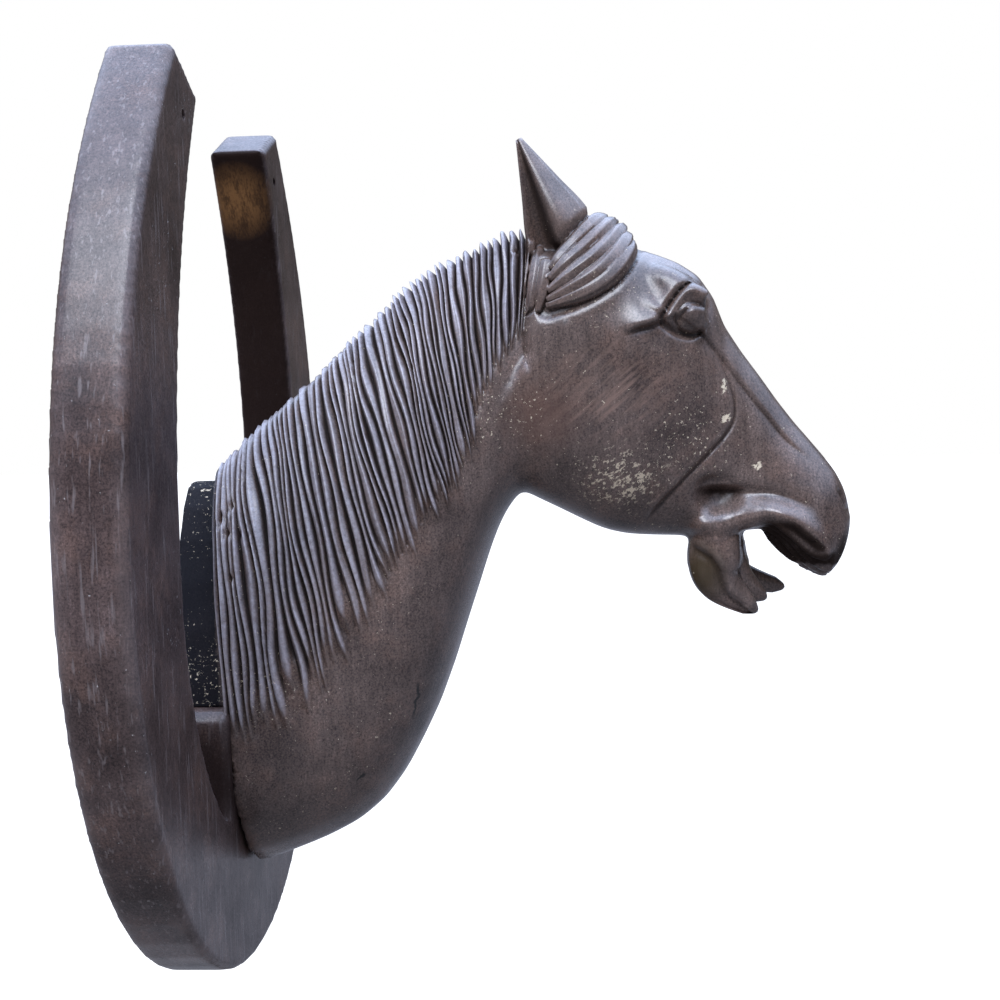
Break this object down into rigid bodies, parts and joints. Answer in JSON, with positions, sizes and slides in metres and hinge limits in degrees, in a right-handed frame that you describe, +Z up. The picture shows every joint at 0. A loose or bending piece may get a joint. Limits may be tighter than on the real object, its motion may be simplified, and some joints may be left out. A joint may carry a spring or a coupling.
{
  "type": "horse head wall plaque",
  "caption": "Carved, dark-stained wooden horse head with open mouth and grooved mane, looking out from an upright horseshoe-shaped board that hangs on a wall.",
  "frame": {"origin": "on the wall face of the horseshoe board, in the middle plane, halfway up the board's toe", "axes": "+Y into the wall, -Y the way the horse looks, +Z up towards the heels of the horseshoe, -X the side that the mane falls on"},
  "size_m": [0.2514, 0.227, 0.297],
  "materials": {
    "horseshoe_wood": "dark brown stain, satin, with pale grain streaks and worn edges",
    "horse_wood": "dark brown stain and wax, satin, rubbed through on the cheek and lips"
  },
  "bodies": {
    "root": {"horseshoe": "horseshoe_wood", "horse_head": "horse_wood"}
  },
  "joints": []
}
